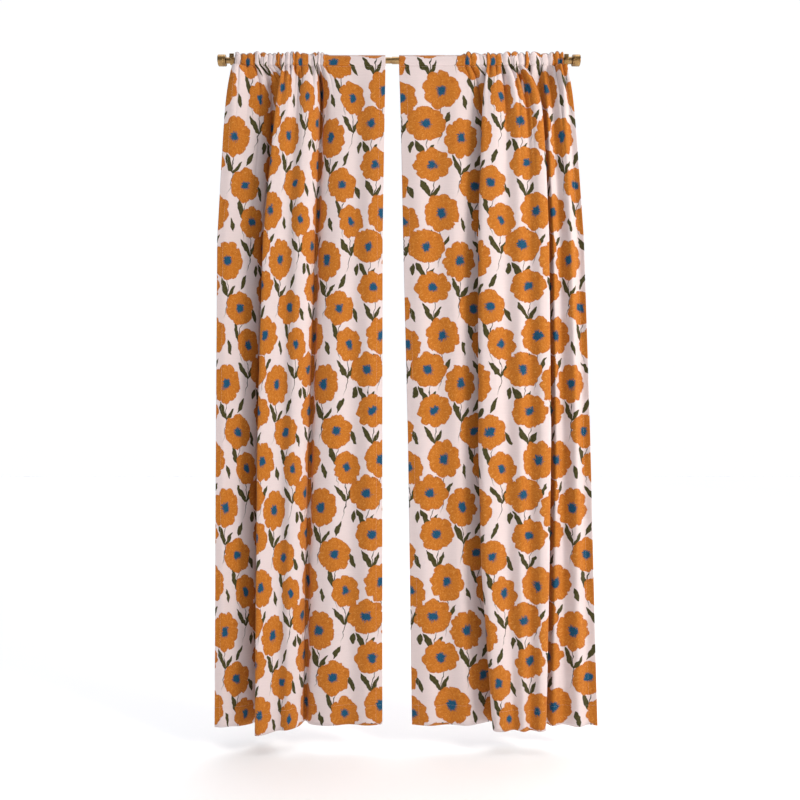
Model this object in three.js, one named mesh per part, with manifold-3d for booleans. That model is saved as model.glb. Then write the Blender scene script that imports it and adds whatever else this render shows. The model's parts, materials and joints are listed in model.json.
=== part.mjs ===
// A pair of rod-pocket window curtains on a telescopic brass rod with two wall brackets.
// Millimetres, +Z up. The origin is on the wall, level with the rod's axis and midway between
// the brackets. +X runs along the rod to the right, and +Y goes into the wall.
import * as THREE from 'three';
import { mergeVertices } from 'three/addons/utils/BufferGeometryUtils.js';
import Module from 'manifold-3d';

const wasm = await Module();
wasm.setup();

// ---- Driving dimensions ----

const gap = 0.3; // between pieces that touch on the real object
const cutOver = 1; // how far a drill or cutter runs past the face it starts from

// Rod: a thick tube on the right, and a thinner one that slides into it from the left.
const rodOverAll = 1148; // over both finial caps
const outerTubeRadius = 11.2;
const outerTubeWall = 0.7;
const innerTubeWall = 0.7;
const bushWall = 0.5;
const bushClearance = 0.25; // on each side of the plastic bush
const bushLength = 24;
const tubeMouthX = -22; // where the thick tube ends
const tubeOverlap = 177; // length of thin tube inside the thick one

// Finials: plain round caps on threaded studs.
const capRadius = 18;
const capLength = 25;
const capRound = 3;
const studRadius = 4;
const studInCap = 12;
const studInPlug = 20;
const plugLength = 24;
const plugFlange = 1.5;

// Brackets: wall plate, arm and an open cup with a set screw in its front.
const wallToRod = 89;
const neckLength = 13.4; // bare tube between a cap and its bracket
const cupWidth = 14;
const cupWall = 4;
const cupLipHeight = 15; // above the cup's own axis
const cupClearance = 0.3; // between the thick tube and the cup's seat
const bossRadius = 5.5;
const bossLength = 4;
const plateWidth = 24;
const plateHeight = 76;
const plateThickness = 4;
const plateCorner = 6;
const armRadius = 5;
const tenonRadius = 3;
const wallScrewSpacing = 52;
const wallScrewRadius = 2;
const wallScrewHead = 4;
const wallScrewHeadHeight = 2.2;
const wallScrewLength = 30;
const cupScrewRadius = 2;
const cupScrewHead = 3.7;
const cupScrewHeadHeight = 1.9;
const cupScrewLength = 13;
const panHeadFlat = 0.7; // width of a pan head's flat top, as a share of the head's
const setScrewRadius = 2.5;
const knobRadius = 6;
const knobLength = 5;
const knobFlutes = 12;
const knobFluteDepth = 0.5;
const knobGrip = 3; // length of shank inside the knob

// Curtains: two panels, each with a gathered outer part and a flatter leading leaf.
const hangBelowRod = 2107; // from the rod's axis to the hem
const clothThickness = 3;
const hemHeight = 76;
const hemThickness = 5;
const sideHemWidth = 25;
const pocketSlack = 0.8; // between the thick tube and the leading pocket
const leadPocketThickness = 2.5;
const archSlack = 1.2; // between the leading pocket and the gathered one around it
const archThickness = 10;
const archLeg = 26; // how far the gathered pocket reaches below the rod's axis
const rufflePitch = 32;
const ruffleDepth = 3;
const pocketToCup = 2.6;
const flareStart = 55; // below the rod, where the outer edges start to spread
const foldDepth = 15; // half the depth of the outer folds
const foldCentre = 30; // in front of the rod's axis
const foldCentreAtTop = 20;
const foldDepthAtTop = 3.5;
const leafDepth = 8;
const leafDepthAtTop = 2.5;
const leafCentre = 4; // behind the rod's axis
const foldSettle = 260; // drop over which the folds reach their full depth
const leafTuck = 14; // of the leaf behind the outer folds
const stripStep = 500; // height of the rows that a strip of cloth is divided into

// Where each panel's edges are, at the top and at the hem, outwards from the middle of the rod.
const panels = [
  {
    side: 'left', sign: -1, lead: [43, 54], split: [248, 248], outer: [549, 581],
    outerFolds: 3.5, leafFolds: 2,
  },
  {
    side: 'right', sign: 1, lead: [0, 41], split: [262, 286], outer: [549, 627],
    outerFolds: 3.5, leafFolds: 2.5,
  },
];

// ---- Sizes that follow ----

const outerTubeBore = outerTubeRadius - outerTubeWall;
const bushOuter = outerTubeBore - bushClearance;
const bushBore = bushOuter - bushWall;
const innerTubeRadius = bushBore - bushClearance;
const innerTubeBore = innerTubeRadius - innerTubeWall;
const capInnerX = rodOverAll / 2 - capLength;
const tubeEndX = capInnerX - 2 * gap - plugFlange;
const bracketX = capInnerX - neckLength - cupWidth / 2;
const pocketEndX = bracketX - cupWidth / 2 - pocketToCup;
const seatRadius = outerTubeRadius + cupClearance;
const cupRadius = seatRadius + cupWall;
const bossFront = cupRadius + bossLength;
const leadPocketBore = outerTubeRadius + pocketSlack;
const leadPocketRadius = leadPocketBore + leadPocketThickness;
const archBore = leadPocketRadius + archSlack;
const archRadius = archBore + archThickness;
const archBottom = Math.max(archLeg, archRadius);
const foldTop = -archBottom - gap;
const leafTop = -leadPocketRadius - gap;
const clothBottom = -hangBelowRod + hemHeight + gap;

// ---- Materials ----

const brass = new THREE.MeshStandardMaterial({ color: '#8f6a3a', roughness: 0.38, metalness: 1 });
const steel = new THREE.MeshStandardMaterial({ color: '#a8a9a6', roughness: 0.35, metalness: 1 });
const plastic = new THREE.MeshStandardMaterial({ color: '#2e2a27', roughness: 0.5, metalness: 0 });
const cloth = new THREE.MeshStandardMaterial({ color: '#e6d6d3', roughness: 0.9, metalness: 0 });

// ---- Shape helpers ----

// A solid turned about Y. The profile is a list of [radius, y], with the metal on its left.
function turned(profile, segments = 28) {
  return new THREE.LatheGeometry(profile.map(([r, y]) => new THREE.Vector2(r, y)), segments);
}

// The same solid with its axis laid along X, y becoming x.
function turnedAlongX(profile, segments = 28) {
  return turned(profile, segments).rotateZ(-Math.PI / 2);
}

// A round bar from one place to another along its axis.
function bar(radius, from, to) {
  return [[0, from], [radius, from], [radius, to], [0, to]];
}

// A tube along its axis.
function pipe(bore, radius, from, to) {
  return [[bore, from], [radius, from], [radius, to], [bore, to], [bore, from]];
}

function solidOf(geometry) {
  const plain = geometry.index ? geometry.toNonIndexed() : geometry.clone();
  plain.deleteAttribute('normal');
  plain.deleteAttribute('uv');
  const merged = mergeVertices(plain, 1e-4);
  const mesh = new wasm.Mesh({
    numProp: 3,
    vertProperties: new Float32Array(merged.attributes.position.array),
    triVerts: new Uint32Array(merged.index.array),
  });
  return new wasm.Manifold(mesh);
}

function geometryOf(solid) {
  const mesh = solid.getMesh();
  const geometry = new THREE.BufferGeometry();
  geometry.setAttribute('position', new THREE.BufferAttribute(mesh.vertProperties, 3));
  geometry.setIndex(new THREE.BufferAttribute(mesh.triVerts, 1));
  return geometry;
}

// Turns a flat outline drawn in (y, z) and pushed along Z into one pushed along X.
const sectionToX = new THREE.Matrix4().set(0, 0, 1, 0, 1, 0, 0, 0, 0, 1, 0, 0, 0, 0, 0, 1);

function pushedAlongX(outline, from, to, steps = 1, curveSegments = 12) {
  const settings = { depth: to - from, steps, bevelEnabled: false, curveSegments };
  const geometry = new THREE.ExtrudeGeometry(outline, settings).applyMatrix4(sectionToX);
  return geometry.translate(from, 0, 0);
}

const model = new THREE.Group();

function place(name, geometry, material, parent, x = 0, y = 0, z = 0) {
  const mesh = new THREE.Mesh(geometry, material);
  mesh.name = name;
  mesh.position.set(x, y, z);
  parent.add(mesh);
}

// ---- Rod ----

const rod = new THREE.Group();
rod.position.set(0, -wallToRod, 0);
model.add(rod);

place('outer_tube', turnedAlongX(pipe(outerTubeBore, outerTubeRadius, tubeMouthX, tubeEndX)),
  brass, rod);
place('inner_tube',
  turnedAlongX(pipe(innerTubeBore, innerTubeRadius, -tubeEndX, tubeMouthX + tubeOverlap)),
  brass, rod);
place('tube_bush', turnedAlongX(pipe(bushBore, bushOuter, tubeMouthX, tubeMouthX + bushLength)),
  plastic, rod);

// A plug fills a tube's end, with a flange over the rim and a threaded bore for the stud.
function plug(tubeBore, tubeRadius) {
  const studBore = studRadius + gap;
  return turned([
    [studBore, -plugLength],
    [tubeBore - gap, -plugLength],
    [tubeBore - gap, gap],
    [tubeRadius, gap],
    [tubeRadius, gap + plugFlange],
    [studBore, gap + plugFlange],
    [studBore, -plugLength],
  ]);
}

// A cap is a short drum with rounded rims and a blind hole for the stud.
function finialCap() {
  const start = 2 * gap + plugFlange;
  const end = start + capLength;
  const holeEnd = start + studInCap + gap;
  const rim = capRadius - capRound;
  const arcSteps = 3;
  const rounded = (centreY, fromDegrees) => Array.from({ length: arcSteps + 1 }, (_, i) => {
    const angle = THREE.MathUtils.degToRad(fromDegrees + (90 * i) / arcSteps);
    return [rim + capRound * Math.cos(angle), centreY + capRound * Math.sin(angle)];
  });
  return turned([
    [0, holeEnd],
    [studRadius + gap, holeEnd],
    [studRadius + gap, start],
    ...rounded(start + capRound, -90),
    ...rounded(end - capRound, 0),
    [0, end],
  ]);
}

function finial(side, sign, tubeBore, tubeRadius) {
  const end = new THREE.Group();
  end.position.set(sign * tubeEndX, 0, 0);
  end.rotation.z = (-sign * Math.PI) / 2;
  rod.add(end);
  const face = 2 * gap + plugFlange;
  place(`${side}_tube_plug`, plug(tubeBore, tubeRadius), brass, end);
  place(`${side}_finial_stud`, turned(bar(studRadius, face - studInPlug, face + studInCap), 24),
    steel, end);
  place(`${side}_finial_cap`, finialCap(), brass, end);
}

finial('left', -1, innerTubeBore, innerTubeRadius);
finial('right', 1, outerTubeBore, outerTubeRadius);

// ---- Brackets, drawn about the axis of the cup, with the wall at y = wallToRod ----

function wallPlate() {
  const halfWidth = plateWidth / 2;
  const halfHeight = plateHeight / 2;
  const inset = halfHeight - plateCorner;
  const outline = new THREE.Shape();
  outline.absarc(halfWidth - plateCorner, inset, plateCorner, 0, Math.PI / 2);
  outline.absarc(plateCorner - halfWidth, inset, plateCorner, Math.PI / 2, Math.PI);
  outline.absarc(plateCorner - halfWidth, -inset, plateCorner, Math.PI, 1.5 * Math.PI);
  outline.absarc(halfWidth - plateCorner, -inset, plateCorner, 1.5 * Math.PI, 2 * Math.PI);
  const holes = [
    [0, tenonRadius + gap],
    [wallScrewSpacing / 2, wallScrewRadius + gap],
    [-wallScrewSpacing / 2, wallScrewRadius + gap],
  ];
  for (const [height, radius] of holes) {
    outline.holes.push(new THREE.Path().absarc(0, height, radius, 0, 2 * Math.PI, true));
  }
  const settings = { depth: plateThickness, bevelEnabled: false, curveSegments: 6 };
  const geometry = new THREE.ExtrudeGeometry(outline, settings).rotateX(Math.PI / 2);
  return geometry.translate(0, wallToRod, 0);
}

function bracketArm() {
  const front = cupRadius + gap;
  const hole = cupScrewRadius + gap;
  const holeEnd = front + cupScrewLength;
  const shoulder = wallToRod - plateThickness - gap;
  return turned([
    [0, holeEnd],
    [hole, holeEnd],
    [hole, front],
    [armRadius, front],
    [armRadius, shoulder],
    [tenonRadius, shoulder],
    [tenonRadius, wallToRod - 2 * gap],
    [0, wallToRod - 2 * gap],
  ], 24);
}

// The cup is a U open upwards, with a boss in front and a counterbored hole behind.
function rodCup() {
  const outline = new THREE.Shape();
  outline.absarc(0, 0, cupRadius, Math.PI, 2 * Math.PI);
  outline.lineTo(cupRadius, cupLipHeight);
  outline.lineTo(seatRadius, cupLipHeight);
  outline.absarc(0, 0, seatRadius, 2 * Math.PI, Math.PI, true);
  outline.lineTo(-seatRadius, cupLipHeight);
  outline.lineTo(-cupRadius, cupLipHeight);
  const strap = solidOf(pushedAlongX(outline, -cupWidth / 2, cupWidth / 2, 1, 8));
  const boss = solidOf(turned(bar(bossRadius, -bossFront, -seatRadius - cupWall / 2), 24));
  const setScrewHole = solidOf(turned(bar(setScrewRadius + gap, -bossFront - cutOver, 0), 24));
  const armScrewHole = solidOf(turned(bar(cupScrewRadius + gap, 0, cupRadius + cutOver), 24));
  const headEnd = seatRadius + 2 * gap + cupScrewHeadHeight;
  const counterbore = solidOf(turned(bar(cupScrewHead + gap, 0, headEnd), 24));
  return geometryOf(strap.add(boss).subtract(setScrewHole)
    .subtract(armScrewHole).subtract(counterbore));
}

// Pan-headed screws, pointing along +Y from the underside of the head.
function screw(shank, head, headHeight, length, underHead) {
  return turned([
    [0, underHead - headHeight],
    [head * panHeadFlat, underHead - headHeight],
    [head, underHead - headHeight / 2],
    [head, underHead],
    [shank, underHead],
    [shank, underHead + length],
    [0, underHead + length + shank],
  ], 20);
}

function cupScrew() {
  const underHead = seatRadius + gap + cupScrewHeadHeight;
  const length = cupRadius + cupScrewLength - 2 * gap - cupScrewRadius - underHead;
  return screw(cupScrewRadius, cupScrewHead, cupScrewHeadHeight, length, underHead);
}

function knobOutline() {
  const points = [];
  const steps = knobFlutes * 4;
  for (let i = 0; i < steps; i += 1) {
    const angle = (2 * Math.PI * i) / steps;
    const r = knobRadius - knobFluteDepth * (1 - Math.cos(knobFlutes * angle)) / 2;
    points.push(new THREE.Vector2(r * Math.cos(angle), r * Math.sin(angle)));
  }
  return new THREE.Shape(points);
}

// The fluted knob is pressed on the front end of the set screw's shank.
function setScrewKnob() {
  const back = -bossFront - gap;
  const settings = { depth: knobLength, bevelEnabled: false };
  const drum = new THREE.ExtrudeGeometry(knobOutline(), settings).rotateX(Math.PI / 2);
  drum.translate(0, back, 0);
  const socket = turned(bar(setScrewRadius + gap, back - knobGrip - gap, back + cutOver), 24);
  return geometryOf(solidOf(drum).subtract(solidOf(socket)));
}

function bracket(side, sign, tubeRadius) {
  const body = new THREE.Group();
  // The thinner tube lies lower in its cup, so that bracket is fixed higher to keep the rod level.
  body.position.set(sign * bracketX, -wallToRod, outerTubeRadius - tubeRadius);
  model.add(body);
  place(`${side}_wall_plate`, wallPlate(), brass, body);
  place(`${side}_bracket_arm`, bracketArm(), brass, body);
  place(`${side}_rod_cup`, rodCup(), brass, body);
  place(`${side}_cup_screw`, cupScrew(), steel, body);
  const wallScrew = screw(wallScrewRadius, wallScrewHead, wallScrewHeadHeight, wallScrewLength,
    wallToRod - plateThickness - gap);
  place(`${side}_upper_wall_screw`, wallScrew, steel, body, 0, 0, wallScrewSpacing / 2);
  place(`${side}_lower_wall_screw`, wallScrew.clone(), steel, body, 0, 0, -wallScrewSpacing / 2);
  const shank = turned(bar(setScrewRadius, -bossFront - gap - knobGrip, -tubeRadius - gap), 20);
  place(`${side}_set_screw_shank`, shank, brass, body);
  place(`${side}_set_screw_knob`, setScrewKnob(), brass, body);
}

bracket('left', -1, innerTubeRadius);
bracket('right', 1, outerTubeRadius);

// ---- Curtains ----

function mix(a, b, t) {
  return a + (b - a) * t;
}

// How far an edge has moved from its place at the top to its place at the hem, at this height.
function spread(z) {
  const drop = THREE.MathUtils.clamp((-z - flareStart) / (hangBelowRod - flareStart), 0, 1);
  return 1 - (1 - drop) ** 2;
}

function edgeAt([top, bottom], z) {
  return mix(top, bottom, spread(z));
}

// The outer edge hangs straight from the end of the pocket and then swells past the bracket.
function outerEdgeAt(panel, z) {
  const swell = 1 - Math.exp(-Math.max(0, -z - flareStart) / flareStart);
  return mix(pocketEndX, edgeAt(panel.outer, z), swell);
}

// A strip of folded cloth. It starts as a flat slab cut into a grid, and then each vertex is moved
// to where the folds run at its height: from and to give x across the strip, and fold gives y.
function foldedStrip({ top, bottom, from, to, fold, thickness, sections, steps }) {
  const slab = new THREE.BoxGeometry(1, 1, top - bottom, sections, 1, steps).toNonIndexed();
  slab.translate(0.5, 0, (top + bottom) / 2);
  const position = slab.attributes.position;
  for (let i = 0; i < position.count; i += 1) {
    const share = position.getX(i);
    const z = position.getZ(i);
    const y = fold(share, z) + position.getY(i) * thickness;
    position.setXYZ(i, mix(from(z), to(z), share), y, z);
  }
  return slab;
}

// Mirrors a strip drawn outwards along +X on to the left side, with its faces still outwards.
function onSide(geometry, sign) {
  if (sign > 0) return geometry;
  const mirrored = geometry.scale(-1, 1, 1);
  const position = mirrored.attributes.position;
  for (let i = 0; i < position.count; i += 3) {
    const first = new THREE.Vector3().fromBufferAttribute(position, i);
    const second = new THREE.Vector3().fromBufferAttribute(position, i + 1);
    position.setXYZ(i, second.x, second.y, second.z);
    position.setXYZ(i + 1, first.x, first.y, first.z);
  }
  return mirrored;
}

// The gathered pocket is an arch over the rod with two legs, and the leading leaf hangs
// between them. Its outer surface ripples along the rod.
function gatheredPocket(panel) {
  const from = edgeAt(panel.split, 0) + gap;
  const outline = new THREE.Shape();
  outline.absarc(0, 0, archRadius, 0, Math.PI);
  outline.lineTo(-archRadius, -archBottom);
  outline.lineTo(-archBore, -archBottom);
  outline.lineTo(-archBore, 0);
  outline.absarc(0, 0, archBore, Math.PI, 0, true);
  outline.lineTo(archBore, -archBottom);
  outline.lineTo(archRadius, -archBottom);
  const ruffles = Math.round((pocketEndX - from) / rufflePitch);
  const geometry = pushedAlongX(outline, from, pocketEndX, 2 * ruffles, 4);
  const position = geometry.attributes.position;
  for (let i = 0; i < position.count; i += 1) {
    const y = position.getY(i);
    const z = position.getZ(i);
    const reach = z > 0 ? Math.hypot(y, z) : Math.abs(y);
    const outerSkin = reach > (archBore + archRadius) / 2;
    const turn = ((position.getX(i) - from) / (pocketEndX - from)) * ruffles;
    const inward = outerSkin ? ruffleDepth * (0.5 - 0.5 * Math.cos(2 * Math.PI * turn)) : 0;
    const scale = (reach - inward) / reach;
    position.setY(i, y * scale);
    if (z > 0) position.setZ(i, z * scale);
  }
  return geometry;
}

function leadingPocket(panel) {
  const from = edgeAt(panel.lead, 0);
  const to = edgeAt(panel.split, 0) + leafTuck;
  return turnedAlongX(pipe(leadPocketBore, leadPocketRadius, from, to), 24).toNonIndexed();
}

function settled(z, top) {
  return 1 - Math.exp((z - top) / foldSettle);
}

function outerFold(panel) {
  return (share, z) => {
    const grown = settled(z, foldTop);
    const centre = mix(foldCentreAtTop, foldCentre, grown);
    const depth = mix(foldDepthAtTop, foldDepth, grown);
    return -centre - depth * Math.cos(2 * Math.PI * panel.outerFolds * (1 - share));
  };
}

function leafFold(panel) {
  return (share, z) => {
    const grown = settled(z, leafTop);
    const depth = mix(leafDepthAtTop, leafDepth, grown);
    return leafCentre * grown + depth * Math.cos(2 * Math.PI * panel.leafFolds * share);
  };
}

function curtain(panel) {
  const { side, sign } = panel;
  const hanging = new THREE.Group();
  hanging.position.set(0, -wallToRod, 0);
  model.add(hanging);
  const add = (name, geometry) => place(`${side}_${name}`, onSide(geometry, sign), cloth, hanging);
  add('gathered_pocket', gatheredPocket(panel));
  add('leading_pocket', leadingPocket(panel));

  const split = (z) => edgeAt(panel.split, z);
  const outer = (z) => outerEdgeAt(panel, z);
  const lead = (z) => edgeAt(panel.lead, z);
  const tucked = (z) => split(z) + leafTuck;
  const hemTop = -hangBelowRod + hemHeight;
  const outerHemStart = (z) => outer(z) - sideHemWidth;
  const leadHemEnd = (z) => lead(z) + sideHemWidth;
  const folds = outerFold(panel);
  const leaf = leafFold(panel);
  // A part of a wider strip keeps the wider strip's folds.
  const within = (fold, wideFrom, wideTo, from, to) => (share, z) => {
    const x = mix(from(z), to(z), share);
    return fold((x - wideFrom(z)) / (wideTo(z) - wideFrom(z)), z);
  };
  const short = (edge, by) => (z) => edge(z) + by;

  const strips = [
    ['outer_folds', split, short(outerHemStart, -gap), split, outer, folds, foldTop, clothBottom,
      clothThickness, 24],
    ['outer_side_hem', outerHemStart, outer, split, outer, folds, foldTop, clothBottom,
      hemThickness, 6],
    ['outer_hem', split, outer, split, outer, folds, hemTop, -hangBelowRod, hemThickness, 24],
    ['leading_leaf', short(leadHemEnd, gap), tucked, lead, tucked, leaf, leafTop, clothBottom,
      clothThickness, 14],
    ['leading_side_hem', lead, leadHemEnd, lead, tucked, leaf, leafTop, clothBottom,
      hemThickness, 4],
    ['leading_hem', lead, tucked, lead, tucked, leaf, hemTop, -hangBelowRod, hemThickness, 14],
  ];
  for (const [name, from, to, wideFrom, wideTo, fold, top, bottom, thickness, sections] of strips) {
    const steps = Math.max(1, Math.round((top - bottom) / stripStep));
    const placed = within(fold, wideFrom, wideTo, from, to);
    add(name, foldedStrip({ top, bottom, from, to, fold: placed, thickness, sections, steps }));
  }
}

for (const panel of panels) curtain(panel);

export default model;
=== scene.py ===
"""A pair of printed rod-pocket curtains on an antique brass rod with two wall brackets."""

import json
import math

import bpy
import numpy as np
from mathutils import Matrix, Vector


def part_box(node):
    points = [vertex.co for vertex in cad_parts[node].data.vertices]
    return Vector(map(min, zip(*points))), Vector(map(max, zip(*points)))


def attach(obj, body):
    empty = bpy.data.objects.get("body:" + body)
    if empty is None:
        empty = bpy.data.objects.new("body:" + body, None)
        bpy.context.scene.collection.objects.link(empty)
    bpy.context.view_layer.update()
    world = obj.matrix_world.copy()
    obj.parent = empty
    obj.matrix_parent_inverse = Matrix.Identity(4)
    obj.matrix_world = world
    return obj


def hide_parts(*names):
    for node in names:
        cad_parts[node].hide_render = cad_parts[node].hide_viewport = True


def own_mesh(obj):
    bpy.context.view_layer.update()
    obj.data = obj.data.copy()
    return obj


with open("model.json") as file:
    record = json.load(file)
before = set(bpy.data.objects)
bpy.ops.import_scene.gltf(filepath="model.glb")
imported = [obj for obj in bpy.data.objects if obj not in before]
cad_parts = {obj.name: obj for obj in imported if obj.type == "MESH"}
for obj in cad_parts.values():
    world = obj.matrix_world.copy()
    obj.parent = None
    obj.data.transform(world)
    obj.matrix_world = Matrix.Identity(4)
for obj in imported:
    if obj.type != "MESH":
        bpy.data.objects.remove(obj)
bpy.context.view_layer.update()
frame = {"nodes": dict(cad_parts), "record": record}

# ---- Sizes, in metres ----

MM = 0.001
TUBE_LOW, TUBE_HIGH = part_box("outer_tube")
ROD_Y = (TUBE_LOW.y + TUBE_HIGH.y) / 2
HEM_DROP = -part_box("left_outer_hem")[0].z
HEM_HEIGHT = HEM_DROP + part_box("left_outer_hem")[1].z
POCKET_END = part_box("right_gathered_pocket")[1].x
TUBE_WALL = 0.7 * MM
FINIAL_PITCH = 1.25 * MM
SET_SCREW_PITCH = 0.8 * MM
SCREW_PITCH = 1.4 * MM

# The flat cloth: its width, how much is turned over the rod, and how much of that is pocket.
FLAT_WIDTH = 1.067
POCKET_LOOP = 0.088
CLOTH_THICKNESS = 0.7 * MM
# Turned hems lie a little way behind the sheet.
HEM_THICKNESS = 0.5 * MM
HEM_BEHIND = 1.15 * MM
SIDE_HEM_WIDTH = 25 * MM
# The pocket's stitch line: how far below the rod's axis, and how far in front of it.
STITCH_DROP = 19.5 * MM
STITCH_FRONT = 8.8 * MM
# The print's repeat, across and up.
PRINT_TILE = (0.27, 0.39)

BODIES = frame["record"]["behaviour"]["bodies"]

# ---- Small helpers ----


def colour(hex_code):
    """An sRGB hex colour as the linear colour that a shader takes."""
    parts = [int(hex_code[i : i + 2], 16) / 255 for i in (0, 2, 4)]
    linear = [p / 12.92 if p <= 0.04045 else ((p + 0.055) / 1.055) ** 2.4 for p in parts]
    return (*linear, 1.0)


def smooth(low, high, x):
    """0 below low, 1 above high, and a smooth step between."""
    t = np.clip((x - low) / (high - low), 0, 1)
    return t * t * (3 - 2 * t)


def new_material(name):
    """An empty material, and its node tree."""
    material = bpy.data.materials.new(name)
    material.use_nodes = True
    tree = material.node_tree
    tree.nodes.clear()
    return material, tree


def add(tree, kind, settings=(), links=(), output=0):
    """Adds a node, and returns one of its outputs. Settings are its properties, a colour ramp's
    stops, and input values by name or number. Links join its inputs to other nodes' outputs, or
    give them plain values."""
    node = tree.nodes.new(kind)
    for key, value in dict(settings).items():
        if key == "stops":
            elements = node.color_ramp.elements
            while len(elements) < len(value):
                elements.new(0.5)
            for element, (position, hex_code) in zip(elements, value):
                element.position = position
                element.color = colour(hex_code)
        elif isinstance(key, int) or key in node.inputs:
            node.inputs[key].default_value = value
        else:
            setattr(node, key, value)
    for key, source in dict(links).items():
        if isinstance(source, bpy.types.NodeSocket):
            tree.links.new(source, node.inputs[key])
        else:
            node.inputs[key].default_value = source
    return node.outputs[output] if node.outputs else node


# The kinds of node that the materials use most, and their settings.
MATH, NOISE, BUMP, RAMP = (
    "ShaderNodeMath", "ShaderNodeTexNoise", "ShaderNodeBump", "ShaderNodeValToRGB",
)
VECTOR_MATH, MIX, MAP_RANGE, SEPARATE, MAPPING = (
    "ShaderNodeVectorMath", "ShaderNodeMix", "ShaderNodeMapRange", "ShaderNodeSeparateXYZ",
    "ShaderNodeMapping",
)
PRINCIPLED, OUTPUT = "ShaderNodeBsdfPrincipled", "ShaderNodeOutputMaterial"
TIMES = {"operation": "MULTIPLY"}
TIMES_PLUS = {"operation": "MULTIPLY_ADD"}

# ---- Metal and plastic ----


def lacquered_brass(name, body, worn, grain_along, roughness):
    """Antique brass: rolled or cast brass, darkened and then clear lacquered. It gives a warm
    brown metal with brighter rubbed streaks and a soft, slightly broken gloss."""
    material, tree = new_material(name)
    place = add(tree, "ShaderNodeTexCoord", output="Object")
    stretched = add(tree, MAPPING, {"Scale": grain_along}, {"Vector": place})
    # Brushing lines are about 0.1 mm apart, drawn near 1 mm so that they show.
    lines = add(tree, NOISE, {"Scale": 900.0, "Detail": 3.0}, {"Vector": stretched}, "Fac")
    patina = add(tree, NOISE, {"Scale": 55.0, "Detail": 4.0}, {"Vector": place}, "Fac")
    patina = add(tree, MATH, TIMES, {0: patina, 1: 0.55})
    mixed = add(tree, MATH, TIMES_PLUS, {0: lines, 1: 0.45, 2: patina})
    base = add(tree, RAMP, {"stops": [(0.36, body), (0.62, worn)]}, {"Fac": mixed})
    gloss = add(tree, MATH, TIMES_PLUS, {0: mixed, 1: 0.22, 2: roughness})
    bump = add(tree, BUMP, {"Strength": 0.25, "Distance": 0.2 * MM}, {"Height": lines})
    shader = add(
        tree,
        PRINCIPLED,
        {"Metallic": 1.0, "Coat Weight": 0.35, "Coat Roughness": 0.18},
        {"Base Color": base, "Roughness": gloss, "Normal": bump},
    )
    add(tree, OUTPUT, links={"Surface": shader})
    return material


def zinc_plated_steel():
    """Zinc-plated screw steel: turned and barrel plated, a cool grey with a cloudy gloss."""
    material, tree = new_material("zinc_plated_steel")
    place = add(tree, "ShaderNodeTexCoord", output="Object")
    cloud = add(tree, NOISE, {"Scale": 260.0, "Detail": 4.0}, {"Vector": place}, "Fac")
    base = add(tree, RAMP, {"stops": [(0.3, "8e9090"), (0.7, "c4c5c2")]}, {"Fac": cloud})
    gloss = add(tree, MATH, TIMES_PLUS, {0: cloud, 1: 0.25, 2: 0.22})
    bump = add(tree, BUMP, {"Strength": 0.2, "Distance": 0.1 * MM}, {"Height": cloud})
    shader = add(
        tree,
        PRINCIPLED,
        {"Metallic": 1.0},
        {"Base Color": base, "Roughness": gloss, "Normal": bump},
    )
    add(tree, OUTPUT, links={"Surface": shader})
    return material


def moulded_nylon():
    """Nylon, injection moulded with a fine spark texture: near black, with a dull even sheen."""
    material, tree = new_material("moulded_nylon")
    place = add(tree, "ShaderNodeTexCoord", output="Object")
    grain = add(tree, NOISE, {"Scale": 1800.0, "Detail": 2.0}, {"Vector": place}, "Fac")
    base = add(tree, RAMP, {"stops": [(0.2, "24211f"), (0.8, "35312e")]}, {"Fac": grain})
    bump = add(tree, BUMP, {"Strength": 0.3, "Distance": 0.1 * MM}, {"Height": grain})
    shader = add(
        tree, PRINCIPLED, {"Roughness": 0.5, "IOR": 1.53}, {"Base Color": base, "Normal": bump}
    )
    add(tree, OUTPUT, links={"Surface": shader})
    return material


# ---- Printed cloth ----

# Blooms of the print's repeat: place across and up the repeat, width and height, all in metres,
# lean in degrees, number of petal lobes, stem length in metres and the stem's bend.
BLOOMS = [
    (0.075, 0.345, 0.122, 0.110, 8, 7, 0.110, 0.5),
    (0.185, 0.300, 0.108, 0.124, -6, 9, 0.112, -0.5),
    (0.095, 0.215, 0.118, 0.102, 12, 8, 0.104, 0.6),
    (0.235, 0.150, 0.110, 0.106, -14, 6, 0.110, 0.7),
    (0.125, 0.062, 0.112, 0.118, 4, 8, 0.106, -0.6),
    (0.004, 0.035, 0.092, 0.106, 18, 7, 0.104, -0.7),
]
# Buds and loose leaves between the blooms: place, length, width, all in metres, and lean in
# degrees.
LOOSE_LEAVES = [
    (0.030, 0.272, 0.038, 0.018, 84),
    (0.246, 0.232, 0.054, 0.016, 64),
    (0.026, 0.128, 0.050, 0.015, 112),
    (0.196, 0.024, 0.048, 0.014, 104),
]
# Each stem starts a little way up inside its bloom, and leans by the same angle in degrees.
STEM_TUCK = 0.008
STEM_WIDTH = 0.0026
STEM_LEAN = 88
# How far below its bloom each stem forks into two leaves, each leaf's length, in metres, and
# its lean in degrees. A leaf is this much wide for its length.
FORK_DROP = 0.056
FORK_LEAVES = ((0.070, 116), (0.052, 56))
LEAF_WIDTH = 0.26


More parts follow.
